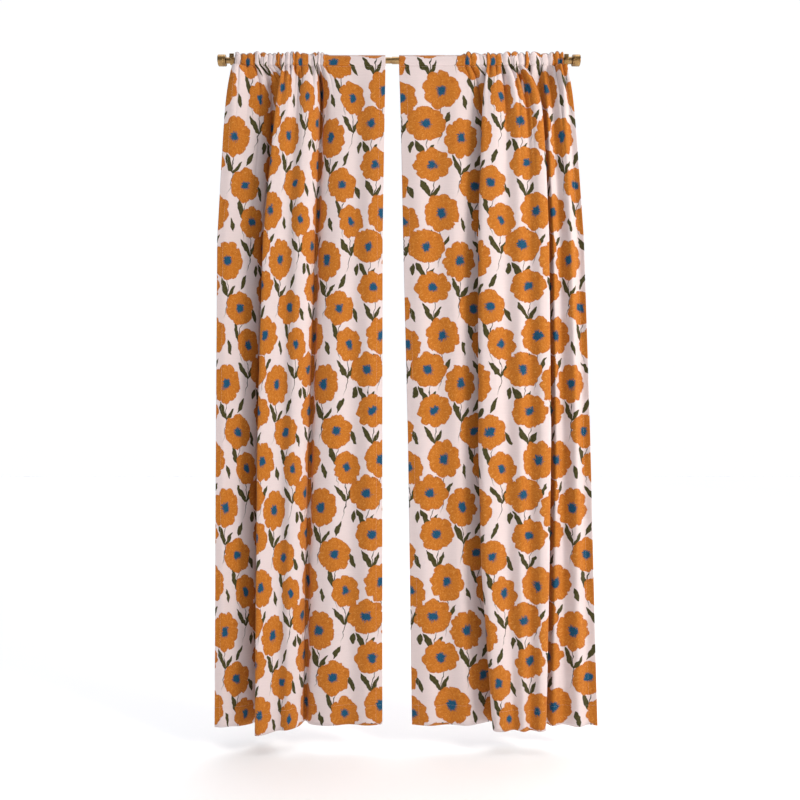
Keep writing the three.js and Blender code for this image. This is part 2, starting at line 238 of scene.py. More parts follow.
def tile_place(tree, cloth, at, size, lean):
    """Coordinates about one motif, repeated with the print. The motif's edge is at 1."""
    width, height = PRINT_TILE
    offset = (width / 2 - at[0], height / 2 - at[1], 0.0)
    moved = add(tree, VECTOR_MATH, {"operation": "ADD", 1: offset}, {0: cloth})
    wrap = {"operation": "WRAP", 1: (width, height, 1.0), 2: (0.0, 0.0, 0.0)}
    wrapped = add(tree, VECTOR_MATH, wrap, {0: moved})
    return add(
        tree,
        MAPPING,
        {
            "vector_type": "TEXTURE",
            "Location": (width / 2, height / 2, 0.0),
            "Rotation": (0.0, 0.0, math.radians(lean)),
            "Scale": (size[0] / 2, size[1] / 2, 1.0),
        },
        {"Vector": wrapped},
    )


def bloom(tree, cloth, at, size, lean, lobes):
    """A bloom's own coordinates, and how far out each point is, with its ragged rim at 1."""
    spot = tile_place(tree, cloth, at, size, lean)
    x, y, _ = add(tree, SEPARATE, links={0: spot}).node.outputs
    turn = add(tree, MATH, {"operation": "ARCTAN2"}, {0: y, 1: x})
    beat = add(tree, MATH, TIMES_PLUS, {0: turn, 1: lobes / 2, 2: lean * 0.7})
    wave = add(tree, MATH, {"operation": "SINE"}, {0: beat})
    petal = add(tree, MATH, {"operation": "ABSOLUTE"}, {0: wave})
    petal = add(tree, MATH, {"operation": "POWER"}, {0: petal, 1: 0.55})
    rim = add(tree, MATH, TIMES_PLUS, {0: petal, 1: 0.15, 2: 0.88})
    out = add(tree, VECTOR_MATH, {"operation": "LENGTH"}, {0: spot}, "Value")
    return spot, add(tree, MATH, {"operation": "DIVIDE"}, {0: out, 1: rim})


def leaf(tree, cloth, at, size, lean):
    """How far out a point is from a leaf shaped like a lens, with its edge at 1."""
    spot = tile_place(tree, cloth, at, size, lean)
    x, y, _ = add(tree, SEPARATE, links={0: spot}).node.outputs
    along = add(tree, MATH, TIMES, {0: x, 1: x})
    across = add(tree, MATH, {"operation": "ABSOLUTE"}, {0: y})
    return add(tree, MATH, {"operation": "ADD"}, {0: along, 1: across})


def stem(tree, cloth, at, length, bend, lean):
    """How far out a point is from a thin bent stem, with its edge at 1."""
    spot = tile_place(tree, cloth, at, (length, STEM_WIDTH), lean)
    x, y, _ = add(tree, SEPARATE, links={0: spot}).node.outputs
    curve = add(tree, MATH, TIMES, {0: x, 1: x})
    across = add(tree, MATH, TIMES_PLUS, {0: curve, 1: bend * 9, 2: y})
    across = add(tree, MATH, {"operation": "ABSOLUTE"}, {0: across})
    along = add(tree, MATH, {"operation": "ABSOLUTE"}, {0: x})
    return add(tree, MATH, {"operation": "MAXIMUM"}, {0: across, 1: along})


def inside(tree, distance, softness):
    """1 inside a motif's edge and 0 outside it, with a narrow soft step."""
    step = {"From Min": 1.0 + softness, "From Max": 1.0 - softness, "To Min": 0.0, "To Max": 1.0}
    return add(tree, MAP_RANGE, step, {"Value": distance})


def shifted(tree, place, wander, reach):
    """Moves a place about by a noise colour, by up to half of the reach each way."""
    half = {"operation": "SUBTRACT", 1: (0.5, 0.5, 0.5)}
    centred = add(tree, VECTOR_MATH, half, {0: wander})
    spread = {"operation": "MULTIPLY_ADD", 1: (reach, reach, 0.0)}
    return add(tree, VECTOR_MATH, spread, {0: centred, 2: place})


def nearest(tree, distances):
    """The least of some distances."""
    found = distances[0]
    for distance in distances[1:]:
        found = add(tree, MATH, {"operation": "MINIMUM"}, {0: found, 1: distance})
    return found


def layered(tree, ground, layers):
    """Lays colours over a ground, each one as strongly as its share says."""
    for share, paint in layers:
        ground = add(tree, MIX, {"data_type": "RGBA"}, {0: share, 6: ground, 7: paint}, 2)
    return ground


def crayon_strokes(tree, turn, repeats, out, closeness):
    """Uneven strokes about the middle of a bloom. A high closeness gives rings, a low one rays."""
    turn = add(tree, MATH, TIMES, {0: turn, 1: repeats})
    out = add(tree, MATH, TIMES, {0: out, 1: closeness})
    polar = add(tree, "ShaderNodeCombineXYZ", links={0: turn, 1: out})
    return add(tree, NOISE, {"Scale": 3.2, "Detail": 4.0}, {"Vector": polar}, "Fac")


def poppy_print(tree, cloth):
    """A generic crayon-drawn poppy repeat, in cloth coordinates in metres. Returns its colour."""
    # Hand-drawn edges wander by about 4 mm, and the crayon's own tooth adds under 1 mm.
    wander = add(tree, NOISE, {"Scale": 42.0, "Detail": 1.0}, {"Vector": cloth}, "Color")
    tooth = add(tree, NOISE, {"Scale": 380.0, "Detail": 2.0}, {"Vector": cloth}, "Color")
    drawn_on = shifted(tree, cloth, wander, 18 * MM)
    green = shifted(tree, drawn_on, tooth, 2 * MM)
    ragged = shifted(tree, drawn_on, tooth, 6 * MM)

    leaves, stems, spot, petals = [], [], None, None
    for x, y, width, height, lean, lobes, stem_length, bend in BLOOMS:
        foot = height / 2 + stem_length / 2 - STEM_TUCK
        stems.append(stem(tree, green, (x, y - foot), stem_length, bend, STEM_LEAN))
        fork = y - (height / 2 + FORK_DROP)
        for long, leaf_lean in FORK_LEAVES:
            reach = 0.5 * long
            tilt = leaf_lean + 0.6 * lean
            turn = math.radians(tilt)
            centre = (x + reach * math.cos(turn), fork + reach * math.sin(turn))
            leaves.append(leaf(tree, green, centre, (long, long * LEAF_WIDTH), tilt))
        own_spot, own_out = bloom(tree, ragged, (x, y), (width, height), lean, lobes)
        if petals is None:
            spot, petals = own_spot, own_out
            continue
        closer = add(tree, MATH, {"operation": "LESS_THAN"}, {0: own_out, 1: petals})
        spot = add(tree, MIX, {"data_type": "VECTOR"}, {0: closer, 4: spot, 5: own_spot}, 1)
        petals = nearest(tree, [own_out, petals])
    for x, y, long, wide, tilt in LOOSE_LEAVES:
        leaves.append(leaf(tree, green, (x, y), (long, wide), tilt))

    # Crayon strokes run out from the middle of each bloom and round it.
    x, y, _ = add(tree, SEPARATE, links={0: spot}).node.outputs
    turn = add(tree, MATH, {"operation": "ARCTAN2"}, {0: y, 1: x})
    rays = crayon_strokes(tree, turn, 3.4, petals, 1.5)
    rings = crayon_strokes(tree, turn, 0.9, petals, 6.0)
    rings = add(tree, MATH, TIMES, {0: rings, 1: 0.4})
    strokes = add(tree, MATH, TIMES_PLUS, {0: rays, 1: 0.6, 2: rings})
    strokes = add(tree, MATH, TIMES, {0: strokes, 1: 0.72})
    wax = add(tree, NOISE, {"Scale": 620.0, "Detail": 2.0}, {"Vector": cloth}, "Fac")
    drawn = add(tree, MATH, TIMES_PLUS, {0: wax, 1: 0.28, 2: strokes})
    crayon = [(0.38, "ad601c"), (0.47, "c3711e"), (0.55, "cb7d24"), (0.65, "e2a65c")]
    ochre = add(tree, RAMP, {"stops": crayon}, {"Fac": drawn})
    edge = {"From Min": 0.86, "From Max": 1.0, "To Min": 0.0, "To Max": 0.45}
    rim = add(tree, MAP_RANGE, edge, {"Value": petals})

    # The seed head is a loose teal scribble with navy strokes and bare flecks.
    head_edge = add(tree, MATH, TIMES_PLUS, {0: rays, 1: 0.62, 2: -0.05})
    head = add(tree, MATH, {"operation": "DIVIDE"}, {0: petals, 1: head_edge})
    teal = add(tree, RAMP, {"stops": [(0.42, "0e3352"), (0.58, "16658a")]}, {"Fac": wax})
    flower = layered(tree, ochre, [(rim, colour("b0622a")), (inside(tree, head, 0.04), teal)])

    ground = add(tree, RAMP, {"stops": [(0.3, "e6d6d6"), (0.7, "ecdedd")]}, {"Fac": wax})
    olive = add(tree, RAMP, {"stops": [(0.40, "35330f"), (0.66, "57522a")]}, {"Fac": drawn})
    return layered(tree, ground, [
        (inside(tree, nearest(tree, stems), 0.35), colour("2f301c")),
        (inside(tree, nearest(tree, leaves), 0.05), olive),
        (inside(tree, petals, 0.012), flower),
    ])


def woven_cotton(name, reverse):
    """Plain-weave cotton, roller printed on its face: matt, with a fine even grain of threads
    and a faint fuzz that catches light. The reverse shows the print only as a pale ghost."""
    material, tree = new_material(name)
    cloth = add(tree, "ShaderNodeUVMap", {"uv_map": "cloth"})
    base = poppy_print(tree, cloth)
    if reverse:
        base = layered(tree, base, [(0.72, colour("e9dcda"))])
    # Threads lie about 0.5 mm apart, drawn 1.6 mm apart so that the weave shows.
    warp, weft = (
        add(
            tree,
            "ShaderNodeTexWave",
            {"bands_direction": direction, "Scale": 196.0, "Distortion": 0.6, "Detail": 1.0},
            {"Vector": cloth},
            "Fac",
        )
        for direction in ("X", "Y")
    )
    weave = add(tree, MATH, TIMES, {0: warp, 1: weft})
    # Slubs, the thicker places in the yarn, are drawn out along it.
    stretched = add(tree, MAPPING, {"Scale": (1.0, 9.0, 1.0)}, {"Vector": cloth})
    slub = add(tree, NOISE, {"Scale": 30.0, "Detail": 3.0}, {"Vector": stretched}, "Fac")
    shade = add(tree, MATH, TIMES_PLUS, {0: slub, 1: 0.10, 2: 0.87})
    shade = add(tree, MATH, TIMES_PLUS, {0: weave, 1: 0.10, 2: shade})
    toned = add(tree, VECTOR_MATH, {"operation": "SCALE"}, {0: base, "Scale": shade})
    gloss = add(tree, MATH, TIMES_PLUS, {0: weave, 1: -0.10, 2: 0.88})
    height = add(tree, MATH, TIMES_PLUS, {0: slub, 1: 0.8, 2: weave})
    bump = add(tree, BUMP, {"Strength": 0.35, "Distance": 0.4 * MM}, {"Height": height})
    shader = add(
        tree,
        PRINCIPLED,
        {"IOR": 1.5, "Sheen Weight": 0.10, "Sheen Roughness": 0.5, "Specular IOR Level": 0.25},
        {"Base Color": toned, "Roughness": gloss, "Normal": bump},
    )
    add(tree, OUTPUT, links={"Surface": shader})
    return material


def sewing_thread():
    """Spun polyester sewing thread: two twisted plies, off white, with a faint silky sheen."""
    material, tree = new_material("spun_sewing_thread")
    place = add(tree, "ShaderNodeTexCoord", output="Object")
    plies = {"Scale": 500.0, "bands_direction": "DIAGONAL"}
    twist = add(tree, "ShaderNodeTexWave", plies, {"Vector": place}, "Fac")
    base = add(tree, RAMP, {"stops": [(0.2, "cdbdb9"), (0.8, "efe4e0")]}, {"Fac": twist})
    bump = add(tree, BUMP, {"Strength": 0.3, "Distance": 0.1 * MM}, {"Height": twist})
    sheen = {"Roughness": 0.6, "Sheen Weight": 0.3}
    shader = add(tree, PRINCIPLED, sheen, {"Base Color": base, "Normal": bump})
    add(tree, OUTPUT, links={"Surface": shader})
    return material


# ---- Turned and cut hardware ----


def mesh_object(name, points, faces, materials, sharp=35):
    """A smooth-shaded object, with edges that turn by more than the sharp angle kept crisp."""
    mesh = bpy.data.meshes.new(name)
    mesh.from_pydata([tuple(p) for p in points], [], [tuple(f) for f in faces])
    mesh.validate()
    for polygon in mesh.polygons:
        polygon.use_smooth = True
    mesh.set_sharp_from_angle(angle=math.radians(sharp))
    piece = bpy.data.objects.new(name, mesh)
    for material in materials:
        mesh.materials.append(material)
    bpy.context.collection.objects.link(piece)
    return piece


def eased(piece, width):
    """Rounds a piece's sharp edges, as polishing does."""
    bevel = piece.modifiers.new("eased edges", "BEVEL")
    bevel.width = width
    bevel.segments = 3
    bevel.limit_method = "ANGLE"
    bevel.angle_limit = math.radians(40)
    bevel.harden_normals = True
    return piece


def spun(profile, origin, axis, sides=72):
    """Points and faces of a closed solid of revolution. The profile is (radius, along) pairs.
    One that starts on the axis also ends on it, and any other one closes on itself."""
    rotation = Vector((0, 0, 1)).rotation_difference(Vector(axis)).to_matrix()
    points, rings = [], []
    for radius, along in profile:
        if radius < 1e-9:
            rings.append([len(points)])
            points.append(Vector(origin) + rotation @ Vector((0, 0, along)))
            continue
        ring = []
        for i in range(sides):
            turn = 2 * math.pi * i / sides
            spot = Vector((radius * math.cos(turn), radius * math.sin(turn), along))
            ring.append(len(points))
            points.append(Vector(origin) + rotation @ spot)
        rings.append(ring)
    if len(rings[0]) > 1:
        rings.append(rings[0])
    faces = []
    for low, high in zip(rings, rings[1:]):
        for i in range(sides):
            j = (i + 1) % sides
            if len(low) == 1:
                faces.append((low[0], high[j], high[i]))
            elif len(high) == 1:
                faces.append((low[i], low[j], high[0]))
            else:
                faces.append((low[i], low[j], high[j], high[i]))
    return points, faces


def turned_piece(name, profile, origin, axis, material, ease, sides=72):
    """A solid of revolution with its edges eased."""
    points, faces = spun(profile, origin, axis, sides)
    return eased(mesh_object(name, points, faces, [material]), ease)


def stand_for(piece, node):
    """Puts a piece on its node's body, in the node's place."""
    body = next(b for b, nodes in BODIES.items() if node in nodes)
    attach(piece, body)
    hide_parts(node)


TUBE_BRASS = lacquered_brass("drawn_brass_tube", "745634", "bc9a68", (0.02, 1.0, 1.0), 0.24)
TRIM_BRASS = lacquered_brass("turned_brass_trim", "6e5030", "b8935c", (1.0, 0.08, 0.08), 0.26)
CAST_BRASS = lacquered_brass("cast_brass_bracket", "64482a", "a8854e", (0.6, 0.6, 0.6), 0.32)
ZINC = zinc_plated_steel()
NYLON = moulded_nylon()
PRINT_FACE = woven_cotton("printed_cotton_face", reverse=False)
PRINT_BACK = woven_cotton("printed_cotton_reverse", reverse=True)
THREAD = sewing_thread()


def tube(node):
    """A drawn tube, open at both ends."""
    low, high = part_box(node)
    radius = (high.z - low.z) / 2
    bore = radius - TUBE_WALL
    length = high.x - low.x
    profile = [(bore, 0), (radius, 0), (radius, length), (bore, length)]
    origin = (low.x, ROD_Y, 0)
    piece = turned_piece(f"{node}_drawn", profile, origin, (1, 0, 0), TUBE_BRASS, 0.2 * MM, 96)
    stand_for(piece, node)


def finial(side, sign):
    """A round cap with a shallow groove near its mouth, turned from bar and polished, with the
    stud that it screws on and the plug that holds the stud in the tube."""
    low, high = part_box(f"{side}_finial_cap")
    radius = (high.z - low.z) / 2
    length = high.x - low.x
    mouth = low.x if sign > 0 else high.x
    bore, bore_depth = 4.3 * MM, 12.3 * MM
    rim = 3 * MM
    rounded = [
        (
            radius - rim + rim * math.cos(math.radians(a)),
            length - rim + rim * math.sin(math.radians(a)),
        )
        for a in range(0, 91, 10)
    ]
    profile = [
        (0, bore_depth),
        (bore, bore_depth),
        (bore, 0),
        (radius - 2.2 * MM, 0),
        (radius - 0.6 * MM, 0.7 * MM),
        (radius, 2.4 * MM),
        (radius, 5.0 * MM),
        (radius - 0.9 * MM, 5.5 * MM),
        (radius - 0.9 * MM, 6.3 * MM),
        (radius, 6.8 * MM),
        *rounded,
        (radius * 0.5, length - 0.15 * MM),
        (0, length),
    ]
    origin = (mouth, ROD_Y, 0)
    cap = turned_piece(
        f"{side}_cap_turned", profile, origin, (sign, 0, 0), TRIM_BRASS, 0.25 * MM, 96
    )
    stand_for(cap, f"{side}_finial_cap")

    low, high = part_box(f"{side}_tube_plug")
    radius = (high.z - low.z) / 2
    inner = radius - 1.0 * MM
    flange = 1.5 * MM
    outer_end = high.x if sign > 0 else low.x
    depth = high.x - low.x
    profile = [
        (bore, -depth),
        (inner, -depth),
        (inner, -flange),
        (radius, -flange),
        (radius, 0),
        (bore, 0),
    ]
    plug = turned_piece(
        f"{side}_plug_turned", profile, (outer_end, ROD_Y, 0), (sign, 0, 0), TRIM_BRASS, 0.2 * MM
    )
    stand_for(plug, f"{side}_tube_plug")
    threaded_rod(f"{side}_finial_stud", (sign, 0, 0), FINIAL_PITCH, ZINC)


def threaded_rod(node, axis, pitch, material):
    """A rod with its thread drawn as rings one pitch apart, inside the node's own size."""
    low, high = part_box(node)
    middle = (low + high) / 2
    along = Vector(axis)
    length = abs((high - low).dot(along))
    radius = min(high - low) / 2
    turns = int(length / pitch) - 1
    profile = [(0, 0), (radius * 0.8, 0)]
    for i in range(turns):
        start = (i + 0.5) * pitch
        profile += [(radius * 0.84, start), (radius, start + pitch / 2)]
    profile += [(radius * 0.8, length), (0, length)]
    origin = middle - along * length / 2
    points, faces = spun(profile, origin, axis, 32)
    rod = mesh_object(f"{node}_threaded", points, faces, [material], sharp=60)
    stand_for(rod, node)


def bush():
    """The moulded bush in the thick tube's mouth, which the thin tube slides in."""
    low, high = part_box("tube_bush")
    radius = (high.z - low.z) / 2
    bore = radius - 0.5 * MM
    length = high.x - low.x
    profile = [(bore, 0), (radius, 0), (radius, length), (bore, length)]
    piece = turned_piece(
        "tube_bush_moulded", profile, (low.x, ROD_Y, 0), (1, 0, 0), NYLON, 0.1 * MM
    )
    stand_for(piece, "tube_bush")


def ring_of(outline, x_from, x_to):
    """Points and faces of an outline in (y, z), pushed along X."""
    count = len(outline)
    points = [(x, y, z) for x in (x_from, x_to) for y, z in outline]
    faces = [tuple(range(count))[::-1], tuple(range(count, 2 * count))]
    faces += [(i, (i + 1) % count, count + (i + 1) % count, count + i) for i in range(count)]
    return points, faces


def cup(side):
    """The cast cup: a U strap with rounded lips, and a boss for the set screw. Returns where
    its middle is, in x and z."""
    low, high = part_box(f"{side}_rod_cup")
    outer = high.y - ROD_Y
    inner = outer - 4 * MM
    axis_z = low.z + outer
    arc = [math.radians(a) for a in range(180, 361, 6)]
    lips = [math.radians(a) for a in range(0, 181, 20)]
    middle = (outer + inner) / 2
    half = (outer - inner) / 2
    top = high.z - half
    outline = [(ROD_Y + outer * math.cos(a), axis_z + outer * math.sin(a)) for a in arc]
    outline += [(ROD_Y + middle + half * math.cos(a), top + half * math.sin(a)) for a in lips]
    outline += [(ROD_Y + inner * math.cos(a), axis_z + inner * math.sin(a)) for a in arc[::-1]]
    outline += [(ROD_Y - middle + half * math.cos(a), top + half * math.sin(a)) for a in lips]
    points, faces = ring_of(outline, low.x, high.x)
    x = (low.x + high.x) / 2
    front = ROD_Y - low.y
    boss = [
        (2.8 * MM, inner + 1.2 * MM),
        (5.2 * MM, inner + 1.2 * MM),
        (5.5 * MM, outer + 0.6 * MM),
        (5.0 * MM, front - 0.6 * MM),
        (4.4 * MM, front),
        (2.8 * MM, front),
    ]
    more, more_faces = spun(boss, (x, ROD_Y, axis_z), (0, -1, 0), 48)
    offset = len(points)
    points += more
    faces += [tuple(i + offset for i in face) for face in more_faces]
    piece = eased(mesh_object(f"{side}_cup_cast", points, faces, [CAST_BRASS]), 0.6 * MM)
    stand_for(piece, f"{side}_rod_cup")
    return x, axis_z


def bracket(side):
    """Everything that holds one end of the rod: plate, arm, cup and their screws."""
    x, z = cup(side)
    low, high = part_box(f"{side}_bracket_arm")
    radius = (high.z - low.z) / 2
    length = high.y - low.y
    bore, bore_depth = 2.3 * MM, 13 * MM
    peg, peg_length = 3 * MM, 3.4 * MM
    profile = [
        (0, bore_depth),
        (bore, bore_depth),
        (bore, 0),
        (radius - 0.8 * MM, 0),
        (radius, 1.2 * MM),
        (radius * 0.8, 6 * MM),
        (radius * 0.8, length - 14 * MM),
        (radius, length - 9 * MM),
        (radius, length - peg_length),
        (peg, length - peg_length),
        (peg, length),
        (0, length),
    ]
    arm = turned_piece(
        f"{side}_arm_turned", profile, (x, low.y, z), (0, 1, 0), CAST_BRASS, 0.3 * MM
    )
    stand_for(arm, f"{side}_bracket_arm")
    for screw in ("cup_screw", "upper_wall_screw", "lower_wall_screw"):
        pan_head_screw(f"{side}_{screw}")
    plate = frame["nodes"][f"{side}_wall_plate"]
    plate.data.materials.clear()
    plate.data.materials.append(CAST_BRASS)
    eased(plate, 0.7 * MM)
    threaded_rod(
        f"{side}_set_screw_shank", (0, -1, 0), SET_SCREW_PITCH, TRIM_BRASS
    )
    knob(side)


def pan_head_screw(node):
    """A pan-headed screw with a cross recess and a coarse thread, pointing into the wall."""
    low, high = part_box(node)
    x, z = (low.x + high.x) / 2, (low.z + high.z) / 2
    head = (high.z - low.z) / 2
    length = high.y - low.y
    thick = 2.0 * MM
    shank = head * 0.5
    profile = [(0, 0), (head * 0.55, 0), (head * 0.9, thick * 0.35), (head, thick * 0.75)]
    profile += [(head, thick), (shank * 0.8, thick)]
    for i in range(int((length - thick - 3 * MM) / SCREW_PITCH)):
        start = thick + 1 * MM + i * SCREW_PITCH
        profile += [(shank * 0.72, start), (shank, start + SCREW_PITCH / 2)]
    profile += [(shank * 0.5, length - 1 * MM), (0, length)]
    points, faces = spun(profile, (x, low.y, z), (0, 1, 0), 40)
    screw = mesh_object(f"{node}_turned", points, faces, [ZINC], sharp=50)
    for angle in (0, math.pi / 2):
        cutter = bpy.data.objects.new("recess", bpy.data.meshes.new("recess"))
        wide, narrow, deep = head * 0.52, head * 0.13, 1.1 * MM
        corners = [
            (a * wide, b * deep, c * narrow) for a in (-1, 1) for b in (-1, 1) for c in (-1, 1)
        ]
        sides = [
            (0, 1, 3, 2), (4, 6, 7, 5), (0, 4, 5, 1), (2, 3, 7, 6), (0, 2, 6, 4), (1, 5, 7, 3),
        ]
        cutter.data.from_pydata(corners, [], sides)
        cutter.matrix_world = Matrix.Translation((x, low.y, z)) @ Matrix.Rotation(angle, 4, "Y")
        bpy.context.collection.objects.link(cutter)
        cut = screw.modifiers.new("recess", "BOOLEAN")
        cut.operation = "DIFFERENCE"
        cut.object = cutter
        apply_modifiers(screw)
        bpy.data.objects.remove(cutter)
    stand_for(screw, node)


def apply_modifiers(piece):
    """Makes what a piece's modifiers give its own mesh."""
    graph = bpy.context.evaluated_depsgraph_get()
    mesh = bpy.data.meshes.new_from_object(piece.evaluated_get(graph))
    piece.modifiers.clear()
    piece.data = mesh


def knob(side):
    """The set screw's knob: a fluted disc with a slightly domed face."""
    low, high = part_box(f"{side}_set_screw_knob")
    x, z = (low.x + high.x) / 2, (low.z + high.z) / 2
    radius = (high.z - low.z) / 2
    length = high.y - low.y
    sides, flutes, flute_depth = 144, 18, 0.5 * MM
    levels = [(0.86, 0), (1.0, 0.7 * MM), (1.0, length - 0.9 * MM), (0.88, length - 0.1 * MM)]
    levels += [(0.6, length)]
    points, faces = [], []
    for level, (share, along) in enumerate(levels):
        for i in range(sides):
            turn = 2 * math.pi * i / sides
            r = radius * share
            if level in (1, 2):
                r -= flute_depth * (0.5 - 0.5 * math.cos(flutes * turn))
            points.append((x + r * math.cos(turn), high.y - along, z + r * math.sin(turn)))
    for level in range(len(levels) - 1):
        for i in range(sides):
            j = (i + 1) % sides
            a, b = level * sides, (level + 1) * sides
            faces.append((a + i, a + j, b + j, b + i))
    faces.append(tuple(range(sides))[::-1])
    faces.append(tuple(range(len(points) - sides, len(points))))
    piece = mesh_object(f"{side}_knob_fluted", points, faces, [TRIM_BRASS], sharp=50)
    stand_for(piece, f"{side}_set_screw_knob")


# ---- Curtains ----

# Drops below the rod at which a panel's folds are placed.
DROPS = [0.0, 0.11, 0.57, 1.2, 1.6, 2.107]
# A run is how the cloth passes behind and before itself, from its leading edge outwards: x from
# the middle of the rod, and y from the rod's axis, negative towards the room. Marks are the
# leading edge, two strong folds and the outer edge: each one's x in the run, and at each drop.
# Creases run down from the gathers: x in the run, depth, and how far they reach below the pocket.
# The heading is how much cloth lies flat on the rod before the gathers begin. The print starts
# that far across its repeat at the leading edge. The low nose is how far one fold's foot droops.
LEFT = {
    "side": "left",
    "sign": -1,
    "heading": 0.176,
    "print_start": 0.13,
    "low_nose": 0.014,
    "creases": [(0.249, 0.034, 0.16), (0.350, 0.016, 0.09)],
    "run": [
        (0.052, -0.002), (0.090, -0.013), (0.135, -0.002), (0.180, -0.014), (0.213, -0.010),
        (0.236, 0.002), (0.246, 0.024), (0.253, 0.026), (0.260, 0.004), (0.276, -0.020),
        (0.312, -0.034), (0.350, -0.024), (0.390, -0.038), (0.420, -0.048), (0.436, -0.045),
        (0.432, -0.028), (0.394, -0.016), (0.352, -0.008), (0.344, 0.004), (0.360, 0.020),
        (0.400, 0.034), (0.434, 0.048), (0.449, 0.050), (0.455, 0.036), (0.467, 0.022),
        (0.483, 0.010), (0.504, -0.002), (0.528, -0.010), (0.552, -0.020), (0.577, -0.020),
    ],
    "marks": {
        0.052: [0.043, 0.045, 0.052, 0.053, 0.053, 0.053],
        0.250: [0.241, 0.246, 0.264, 0.284, 0.294, 0.302],
        0.437: [0.368, 0.384, 0.426, 0.444, 0.447, 0.449],
        0.577: [0.541, 0.549, 0.574, 0.576, 0.578, 0.581],
    },
}
RIGHT = {
    "side": "right",
    "sign": 1,
    "heading": 0.196,
    "print_start": 0.0,
    "low_nose": 0.003,
    "creases": [(0.334, 0.018, 0.10), (0.410, 0.030, 0.14)],
    "run": [
        (0.020, -0.004), (0.070, -0.014), (0.125, -0.003), (0.178, -0.012), (0.215, 0.002),
        (0.250, 0.018), (0.300, 0.024), (0.338, 0.018), (0.340, 0.006), (0.300, -0.006),
        (0.262, -0.018), (0.249, -0.032), (0.262, -0.047), (0.298, -0.045), (0.334, -0.031),
        (0.372, -0.044), (0.404, -0.032), (0.434, -0.046), (0.457, -0.042), (0.462, -0.032),
        (0.430, -0.020), (0.392, -0.012), (0.382, 0.000), (0.400, 0.010), (0.440, 0.018),
        (0.468, 0.014), (0.484, -0.012), (0.512, 0.000), (0.545, -0.024), (0.572, -0.006),
        (0.594, -0.014),
    ],
    "marks": {
        0.020: [0.000, 0.004, 0.013, 0.028, 0.034, 0.041],
        0.249: [0.271, 0.262, 0.248, 0.248, 0.257, 0.292],
        0.462: [0.440, 0.452, 0.470, 0.474, 0.468, 0.458],
        0.594: [0.541, 0.552, 0.584, 0.603, 0.613, 0.627],
    },
}
COLUMNS = 441
LOOP_ROWS = 26
# Gathers on the rod are rolls with sharp creases between them, with this much cloth in each.
ROLL_CLOTH = 0.045
# The least run that a metre of cloth takes up on the rod, and over how much cloth the gathering
# evens out.
LEAST_PACKING = 0.045
EVENED_CLOTH = 0.022
# The pocket's cloth turns about the rod from below its front, over the top, to below its back,
# in degrees. It stands out from the axis by its depth, round a point a little below the axis,
# and its back layer comes forward to meet the front one. That layer comes forward at the top of
# the rod too, so the cloth doubles over itself there by about 6 mm.
POCKET_FRONT_TURN = -82
POCKET_SWEEP = 344
POCKET_DEPTH = 12.8 * MM
POCKET_MEETING = 10.5 * MM
POCKET_RISE = 16.3 * MM
POCKET_SAG = 3.0 * MM
# Where the fold with a drooping foot is in the run, and how wide it is.
NOSE_PLACE = 0.41
NOSE_WIDTH = 0.10
CREASE_WIDTH = 0.008
# Over about this drop below the pocket, the cloth passes from its place on the rod to its run.
SETTLE_DROP = 0.06


def smooth_run(points, count):
    """Points an equal way apart along a smooth curve through these ones, and its length."""
    path = np.array(points)
    padded = np.vstack([2 * path[0] - path[1], path, 2 * path[-1] - path[-2]])
    pieces = []
    t = np.linspace(0, 1, 24, endpoint=False)[:, None]
    for a, b, c, d in zip(padded, padded[1:], padded[2:], padded[3:]):
        pieces.append(0.5 * (
            2 * b + (c - a) * t + (2 * a - 5 * b + 4 * c - d) * t**2
            + (3 * b - a - 3 * c + d) * t**3
        ))
    fine = np.vstack([*pieces, path[-1:]])
    along = np.concatenate([[0], np.cumsum(np.linalg.norm(np.diff(fine, axis=0), axis=1))])
    at = np.linspace(0, along[-1], count)
    return np.interp(at, along, fine[:, 0]), np.interp(at, along, fine[:, 1]), along[-1]


def body_drops():
    """How far below the rod each row of the hanging cloth lies. The first rows are about 3.5 mm
    apart, and the last ones 12.5 mm."""
    rows = [STITCH_DROP]
    while rows[-1] < HEM_DROP:
        rows.append(rows[-1] + min(0.0035 + 0.05 * (rows[-1] - STITCH_DROP), 0.0125))
    return np.array(rows) * HEM_DROP / rows[-1] + STITCH_DROP * (1 - HEM_DROP / rows[-1])


def gathers(panel, run_x, cloth):
    """How the cloth lies along the rod: flat at the leading edge and then gathered, most tightly
    where the folds below turn back. Returns its x, the beat of its rolls and their strength."""
    start = next(iter(panel["marks"].values()))[0]
    flat = panel["heading"]
    packing = np.maximum(np.gradient(run_x, cloth), LEAST_PACKING)
    width = int(EVENED_CLOTH / FLAT_WIDTH * COLUMNS)
    packing = np.convolve(np.pad(packing, width, "edge"), np.hanning(2 * width + 1), "valid")
    packing = np.where(cloth <= flat, 0, packing)
    beyond = np.cumsum(packing)
    rod_x = start + np.minimum(cloth, flat) + (POCKET_END - start - flat) * beyond / beyond[-1]
    uneven = 0.55 * np.sin(cloth * 9.1) + 0.35 * np.sin(cloth * 23.7 + 1)
    beat = (cloth - flat) / ROLL_CLOTH + uneven
    strong = 0.72 + 0.28 * np.sin(cloth * 31 + panel["sign"])
    loose = np.clip(packing / packing[-1] * 2.0, 0.25, 1)
    return rod_x, beat, smooth(flat - 0.01, flat + 0.05, cloth) * strong * loose


